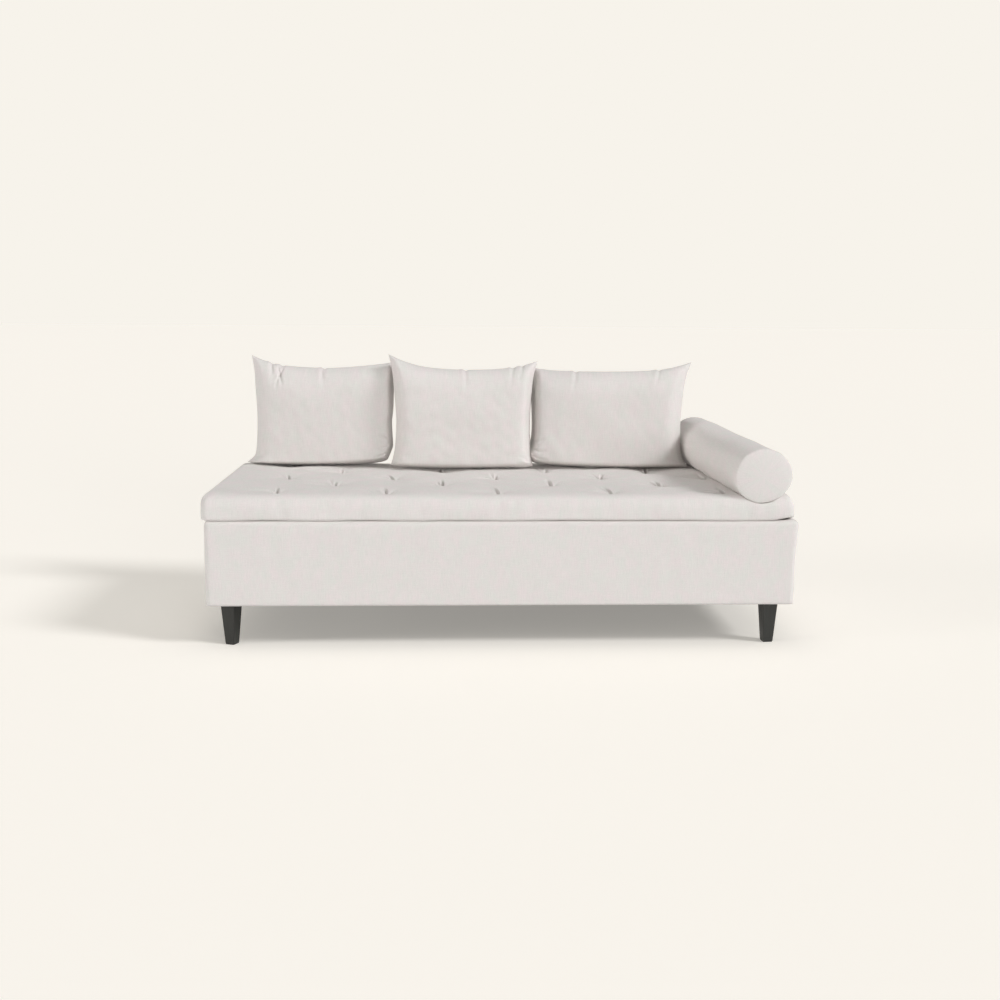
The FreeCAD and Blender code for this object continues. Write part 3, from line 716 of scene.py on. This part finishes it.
# For each: seam place and turn, half width and height; for the upper left, upper right, lower left
# and lower right ear its reach, its rise or lift, and how far along its edges the sweep to it begins;
# width and crispness of the edge inside the left, right, upper and lower seam, where 0 means round;
# creases as depth, width and path; and where the upper seam is nicked
CUSHIONS = {
    "left": {
        "place": (-0.669, 0.335, -5.0),
        "size": (0.265, 0.384),
        "ears": ((0.023, 0.049, 0.13), (0.016, 0.028, 0.20), (0.042, 0.014, 0.036), (0.006, 0.088, 0.030)),
        "soft": ((0.040, 3), (0.021, 7), (0.10, 0), (0.016, 6)),
        "creases": (
            (0.0070, 0.0050, ((-0.214, 0.412), (-0.196, 0.378), (-0.190, 0.350))),
            (0.0100, 0.0050, ((-0.176, 0.402), (-0.172, 0.372), (-0.158, 0.338), (-0.150, 0.312))),
            (0.0085, 0.0046, ((-0.150, 0.400), (-0.160, 0.366), (-0.174, 0.330), (-0.176, 0.296))),
            (0.0040, 0.0060, ((-0.236, 0.420), (-0.228, 0.392))),
            (0.0065, 0.0050, ((-0.012, 0.392), (-0.004, 0.362), (0.004, 0.340))),
            (0.0050, 0.0060, ((0.262, 0.090), (0.240, 0.078), (0.215, 0.082))),
            (0.0055, 0.0060, ((0.258, 0.062), (0.236, 0.046), (0.205, 0.040))),
            (0.0040, 0.0060, ((0.262, 0.120), (0.243, 0.122), (0.222, 0.134))),
            (0.0040, 0.0070, ((-0.270, 0.030), (-0.240, 0.045), (-0.205, 0.048))),
        ),
        "nicks": (-0.165, -0.205, 0.0),
    },
    "centre": {
        "place": (-0.125, 0.238, 0.0),
        "size": (0.257, 0.384),
        "ears": ((0.031, 0.060, 0.145), (0.030, 0.036, 0.13), (0.024, 0.018, 0.070), (0.014, 0.014, 0.055)),
        "soft": ((0.030, 4), (0.030, 4), (0.10, 0), (0.016, 6)),
        "creases": (
            (0.0040, 0.0060, ((0.262, 0.020), (0.236, 0.046), (0.205, 0.056))),
            (0.0060, 0.0055, ((0.268, 0.030), (0.248, 0.066), (0.232, 0.088))),
            (0.0045, 0.0055, ((0.262, 0.014), (0.230, 0.026), (0.195, 0.024))),
            (0.0030, 0.0070, ((-0.270, 0.420), (-0.235, 0.392), (-0.200, 0.378))),
            (0.0030, 0.0060, ((0.050, 0.392), (0.046, 0.366))),
            (0.0030, 0.0060, ((0.212, 0.398), (0.204, 0.366))),
            (0.0035, 0.0070, ((-0.262, 0.022), (-0.238, 0.050), (-0.204, 0.064))),
        ),
        "nicks": (0.010, 0.192, 0.228),
    },
    "right": {
        "place": (0.433, 0.272, -3.5),
        "size": (0.290, 0.378),
        "ears": ((0.006, 0.016, 0.10), (0.040, 0.040, 0.14), (0.030, 0.070, 0.045), (0.032, 0.008, 0.060)),
        "soft": ((0.034, 7), (0.050, 3), (0.10, 0), (0.016, 6)),
        "creases": (
            (0.0045, 0.0060, ((-0.292, 0.078), (-0.262, 0.066), (-0.230, 0.072))),
            (0.0055, 0.0060, ((-0.288, 0.052), (-0.258, 0.036), (-0.222, 0.034))),
            (0.0040, 0.0060, ((-0.290, 0.106), (-0.262, 0.104), (-0.236, 0.116))),
            (0.0030, 0.0070, ((0.300, 0.398), (0.262, 0.376), (0.226, 0.366))),
            (0.0060, 0.0060, ((0.296, 0.020), (0.262, 0.042), (0.226, 0.046))),
            (0.0040, 0.0060, ((0.290, 0.060), (0.262, 0.066), (0.236, 0.080))),
        ),
        "nicks": (0.205, -0.120),
    },
}


def seam_line(size, ears, nicks, count_x, count_z):
    """The knife-edge seam as four sides: bottom, right, top and left, each from low to high place."""
    half_width, height = size
    corners = []
    for sign, up, (reach, rise, sweep) in zip((-1, 1, -1, 1), (1, 1, 0, 0), ears):
        corners.append((sign * (half_width + reach), height + rise if up else rise, sweep, rise, sign))
    ul, ur, ll, lr = corners

    def side(points, count):
        line = rounded_line(points, 4)
        reach = np.linalg.norm(np.diff(line, axis=0), axis=1).sum()
        return along_line(line, np.linspace(0, reach, count + 1))[0]

    def near(corner, level):
        """Two points of the long edge on the way to a corner, the farther one first."""
        x, z, sweep, rise, sign = corner
        return [(x - sign * sweep, level + 0.15 * rise), (x - sign * sweep * 0.42, level + 0.52 * rise)]

    top = side([ul[:2], *near(ul, height)[::-1], (0, height), *near(ur, height), ur[:2]], count_x)
    for nick in nicks:
        top[:, 1] -= 0.0045 * np.exp(-(((top[:, 0] - nick) / 0.007) ** 2))
        top[:, 1] += 0.0020 * np.exp(-(((top[:, 0] - nick + 0.016) / 0.010) ** 2))
    bottom = side([ll[:2], *near(ll, 0.002)[::-1], (0, 0.001), *near(lr, 0.002), lr[:2]], count_x)
    walls = []
    for low, high in ((ll, ul), (lr, ur)):
        sign = low[4]
        edge = sign * (half_width + 0.10 * high[3])
        walls.append(
            side(
                [
                    low[:2],
                    (low[0] * 0.45 + edge * 0.55, low[1] + low[2] * 0.42),
                    (edge, low[1] + low[2]),
                    (sign * half_width, height * 0.5),
                    (edge + sign * 0.004, high[1] - high[2] * 0.95),
                    (high[0] * 0.40 + edge * 0.60, high[1] - high[2] * 0.42),
                    high[:2],
                ],
                count_z,
            )
        )
    return bottom, walls[1], top, walls[0]


def crease_depth(flat, deep, width, path):
    """A groove along a path, with a low ridge on each side of it."""
    path = rounded_line(path, 3)
    nearest = np.full(len(flat), 9.0)
    share = np.zeros(len(flat))
    for place, (start, end) in enumerate(zip(path[:-1], path[1:])):
        way = end - start
        t = np.clip(((flat - start) @ way) / (way @ way), 0, 1)
        away = np.linalg.norm(flat - start - t[:, None] * way, axis=1)
        closer = away < nearest
        nearest = np.where(closer, away, nearest)
        share = np.where(closer, (place + t) / (len(path) - 1), share)
    q = (nearest / (width * (0.7 + 0.9 * share))) ** 2
    return -deep * (1 - 0.6 * q) * np.exp(-0.8 * q) * (1 - smooth_step(share, 0.35, 1.0))


def cushion(name, seed):
    spec = CUSHIONS[name]
    x, y, turn = spec["place"]
    nu, nv = 190, 130
    bottom, right, top, left = seam_line(spec["size"], spec["ears"], spec["nicks"], nu, nv)
    u = np.linspace(0, 1, nu + 1)
    v = np.linspace(0, 1, nv + 1)
    # grid lines closer together near the seams
    u = (u + 0.10 * np.sin(-2 * math.pi * u) / (2 * math.pi) * 4)[None, :, None]
    v = (v + 0.10 * np.sin(-2 * math.pi * v) / (2 * math.pi) * 4)[:, None, None]
    across = np.linspace(0, 1, nu + 1)
    upwards = np.linspace(0, 1, nv + 1)

    def moved(edge, places, even):
        return np.stack([np.interp(places, even, edge[:, n]) for n in (0, 1)], 1)

    bottom, top = (moved(edge, u[0, :, 0], across) for edge in (bottom, top))
    left, right = (moved(edge, v[:, 0, 0], upwards) for edge in (left, right))
    flat = (
        (1 - v) * bottom[None]
        + v * top[None]
        + (1 - u) * left[:, None]
        + u * right[:, None]
        - (1 - u) * (1 - v) * bottom[0]
        - u * (1 - v) * bottom[-1]
        - (1 - u) * v * top[0]
        - u * v * top[-1]
    )
    shape = flat.shape[:2]
    wide = (right[:, 0] - left[:, 0])[:, None]
    tall = (top[:, 1] - bottom[:, 1])[None, :]
    full = np.ones(shape)
    gaps = (u[..., 0] * wide, (1 - u[..., 0]) * wide, (1 - v[..., 0]) * tall, v[..., 0] * tall)
    for gap, (width, crisp) in zip(gaps, spec["soft"]):
        t = np.maximum(gap / width, 0)
        if crisp:
            full = full * t / (1 + t**crisp) ** (1 / crisp)
        else:
            full = full * (1 - (1 - np.minimum(t, 1)) ** 2.1) ** 0.52
    middle = np.sin(math.pi * u[..., 0]) * np.sin(math.pi * v[..., 0])
    full = full * (0.88 + 0.12 * np.clip(middle, 0, 1) ** 0.7)
    points = []
    weave = []
    for side in (-1, 1):
        local = np.zeros(shape + (3,))
        local[..., 0] = flat[..., 0]
        local[..., 1] = side * HALF_THICK * full
        local[..., 2] = flat[..., 1]
        place = local.reshape(-1, 3)
        soft = 0.0016 * waves(place, 0.20, seed + side) + 0.0005 * waves(place, 0.06, seed + 7 + side)
        plane = flat.reshape(-1, 2)
        for deep, width, path in spec["creases"]:
            soft = soft + crease_depth(plane, deep, width, path)
        # fine puckers along the seam
        rim = np.minimum.reduce([g.ravel() for g in gaps])
        along_top = np.minimum(gaps[2], gaps[3]).ravel() < np.minimum(gaps[0], gaps[1]).ravel()
        round_run = np.where(along_top, plane[:, 0], plane[:, 1])
        pucker = np.sin(round_run * 260 + 3 * np.sin(round_run * 37 + seed)) * np.exp(-rim / 0.012)
        soft = soft + 0.0006 * pucker
        local[..., 1] += side * soft.reshape(shape) * np.clip(full * 1.4, 0, 1)
        local[..., 1] = np.where(side * local[..., 1] < 0, 0.0, local[..., 1])
        points.append(local)
        weave.append(flat.reshape(-1, 2) + (0, 3.0 * (side > 0)))
    count = shape[0] * shape[1]
    grid = np.arange(count).reshape(shape)
    rear = grid + count
    edge = np.zeros(shape, bool)
    edge[0] = edge[-1] = True
    edge[:, 0] = edge[:, -1] = True
    rear[edge] = grid[edge]
    faces = []
    for index, flip in ((grid, False), (rear, True)):
        quads = np.stack([index[:-1, :-1], index[:-1, 1:], index[1:, 1:], index[1:, :-1]], -1).reshape(-1, 4)
        faces.append(quads[:, ::-1] if flip else quads)
    faces = np.vstack(faces)
    local = np.vstack([p.reshape(-1, 3) for p in points])
    weave = np.vstack(weave)
    used, index = np.unique(faces.ravel(), return_inverse=True)
    faces = index.reshape(-1, 4)
    local = local[used]
    weave = weave[used]
    lean = Matrix.Rotation(-LEAN, 3, "X")
    yaw = Matrix.Rotation(math.radians(turn), 3, "Z")
    turned = np.array(yaw @ lean)
    world = local @ turned.T + np.array([x, y, MATTRESS_TOP + REST_GAP - SETTLE])
    world[:, 2] = np.maximum(world[:, 2], MATTRESS_TOP + REST_GAP)
    piece = make_piece(
        "cushion_" + name,
        world,
        faces,
        weave,
        "cushion_" + name,
        ["cushion_%s_cover" % name, "cushion_%s_filling" % name],
        cloth,
    )
    return piece


for seed, name in enumerate(CUSHIONS):
    cushion(name, 40 + 10 * seed)


# Bolster
def bolster():
    sides = 144
    radius = BOLSTER_RADIUS
    half = rounded_line(
        [
            (0.0005, -0.0120),
            (0.35 * radius, -0.0116),
            (0.78 * radius, -0.0072),
            (0.955 * radius, -0.0030),
            (0.992 * radius, 0.0),
            (radius, 0.006),
            (radius, 0.05),
        ],
        3,
    )
    middle = np.column_stack([np.full(100, radius), np.linspace(0.052, BOLSTER_LENGTH - 0.052, 100)])
    other = half[::-1] * (1, -1) + (0, BOLSTER_LENGTH)
    profile = np.vstack([half, middle, other])
    steps = np.linalg.norm(np.diff(profile, axis=0), axis=1)
    reach = np.concatenate([[0], np.cumsum(steps)])
    angles = np.arange(sides) * 2 * math.pi / sides
    axis = np.array(bolster_axis)
    side = np.cross(axis, (0, 0, 1.0))
    side /= np.linalg.norm(side)
    up = np.cross(side, axis)
    rings = []
    weaves = []
    for (size, height), distance in zip(profile, reach):
        local = np.column_stack([np.cos(angles) * size, np.sin(angles) * size, np.full(sides, height)])
        body = smooth_step(size, 0.5 * radius, radius)
        swell = 0.0012 * waves(local, 0.16, 61, stretch=(1, 1, 2))
        swell = swell + 0.0005 * waves(local, 0.05, 62, stretch=(1, 1, 4))
        seam = np.exp(-((min(abs(height - 0.0005), abs(height - BOLSTER_LENGTH + 0.0005)) / 0.0016) ** 2))
        pucker = 0.0005 * np.sin(angles * 46 + 2 * np.sin(angles * 5)) * math.exp(
            -(min(abs(height), abs(height - BOLSTER_LENGTH)) / 0.012)
        )
        turned = (angles + math.pi) % (2 * math.pi) - math.pi
        front_bulge = 0.013 * np.exp(-(((turned + 0.12) / 0.62) ** 2)) * (1 - smooth_step(height, 0.02, 0.34))
        rear_bulge = 0.011 * np.exp(-(((turned - 2.15) / 0.70) ** 2)) * smooth_step(height, 0.50, 0.80)
        grown = size + (front_bulge + rear_bulge) * min(size / radius, 1)
        grown = grown + (swell * body - 0.0006) * (size > 0.01)
        grown = grown - 0.0010 * seam * (size > 0.9 * radius) + pucker * body
        world = (
            np.array(BOLSTER_FRONT)
            + np.outer(np.cos(angles) * grown, side)
            + np.outer(np.sin(angles) * grown, up)
            + axis * height
        )
        rings.append(world)
        weaves.append(np.column_stack([angles * radius, np.full(sides, distance)]))
    faces = [f[::-1] for f in open_sweep(len(rings), sides)]
    piece = make_piece(
        "bolster_roll",
        np.vstack(rings),
        faces,
        np.vstack(weaves),
        "bolster",
        ["bolster_cover", "bolster_filling"],
        cloth,
    )
    return piece


bolster()

# Floor, world and lights
def seen_rays(tree):
    """1 for rays from the camera, mirrors and glass, and 0 for those that only carry light."""
    path = node(tree, "ShaderNodeLightPath")
    seen = joined(tree, path.outputs["Is Camera Ray"], path.outputs["Is Glossy Ray"], "MAXIMUM")
    return joined(tree, seen, path.outputs["Is Transmission Ray"], "MAXIMUM")


material, tree, shader = new_material("studio_floor")
shader.inputs["Roughness"].default_value = 1.0
shader.inputs["Specular IOR Level"].default_value = 0.0
glow = node(tree, "ShaderNodeEmission")
glow.inputs["Color"].default_value = (0.93, 0.896, 0.83, 1)
seen = seen_rays(tree)
seen_floor = (0.872, 0.842, 0.785, 1)
bounce_floor = (0.930, 0.925, 0.910, 1)
tree.links.new(mixed_colour(tree, seen, bounce_floor, seen_floor), shader.inputs["Base Color"])
strength = joined(tree, seen, 0.275)
tree.links.new(strength, glow.inputs["Strength"])
both = node(tree, "ShaderNodeAddShader")
tree.links.new(shader.outputs["BSDF"], both.inputs[0])
tree.links.new(glow.outputs["Emission"], both.inputs[1])
tree.links.new(both.outputs["Shader"], tree.nodes["Material Output"].inputs["Surface"])
floor_mesh = bpy.data.meshes.new("floor")
floor_mesh.from_pydata([(-60, -60, 0), (60, -60, 0), (60, 60, 0), (-60, 60, 0)], [], [(0, 1, 2, 3)])
floor_mesh.materials.append(material)
floor = bpy.data.objects.new("floor", floor_mesh)
bpy.context.scene.collection.objects.link(floor)

world = bpy.data.worlds.new("studio")
bpy.context.scene.world = world
world.use_nodes = True
tree = world.node_tree
tree.nodes.clear()
light_sky = node(tree, "ShaderNodeBackground", {"Color": (1.0, 0.985, 0.965, 1), "Strength": 0.425})
seen_sky = node(tree, "ShaderNodeBackground", {"Color": (0.930, 0.896, 0.830, 1), "Strength": 1.0})
choose = node(tree, "ShaderNodeMixShader")
tree.links.new(seen_rays(tree), choose.inputs[0])
tree.links.new(light_sky.outputs[0], choose.inputs[1])
tree.links.new(seen_sky.outputs[0], choose.inputs[2])
output = node(tree, "ShaderNodeOutputWorld")
tree.links.new(choose.outputs[0], output.inputs["Surface"])


def sun(name, azimuth, elevation, strength, angle, colour):
    """A sun from that side, in degrees: azimuth 0 is the front and 90 the right."""
    lamp = bpy.data.lights.new(name, "SUN")
    lamp.energy = strength
    lamp.angle = math.radians(angle)
    lamp.color = colour
    holder = bpy.data.objects.new(name, lamp)
    a = math.radians(azimuth)
    e = math.radians(elevation)
    towards = Vector((math.sin(a) * math.cos(e), -math.cos(a) * math.cos(e), math.sin(e)))
    holder.rotation_mode = "QUATERNION"
    holder.rotation_quaternion = towards.to_track_quat("Z", "Y")
    bpy.context.scene.collection.objects.link(holder)


sun("key", 66, 35, 1.64, 15, (0.985, 0.985, 1.0))
sun("left_fill", -76, 6, 1.05, 20, (1.0, 0.98, 0.965))
sun("front_fill", 24, 5, 0.85, 24, (0.985, 0.985, 1.0))

# Camera
CAMERA = Vector((-0.193, -4.554, 1.151))
PITCH = math.radians(8.96)
TURN = math.radians(-2.53)
ROLL = math.radians(0.39)
level = Vector((math.cos(TURN), math.sin(TURN), 0))
forward = Vector((-math.sin(TURN) * math.cos(PITCH), math.cos(TURN) * math.cos(PITCH), -math.sin(PITCH)))
upward = Vector((-math.sin(TURN) * math.sin(PITCH), math.cos(TURN) * math.sin(PITCH), math.cos(PITCH)))
right_way = level * math.cos(ROLL) + upward * math.sin(ROLL)
up_way = upward * math.cos(ROLL) - level * math.sin(ROLL)
lens = bpy.data.cameras.new("camera")
lens.sensor_width = 36.0
lens.lens = 44.8
lens.clip_end = 200.0
camera = bpy.data.objects.new("camera", lens)
turned = Matrix((right_way, up_way, -forward)).transposed().to_4x4()
turned.translation = CAMERA
camera.matrix_world = turned
bpy.context.scene.collection.objects.link(camera)
bpy.context.scene.camera = camera
bpy.context.scene.view_settings.view_transform = "Standard"
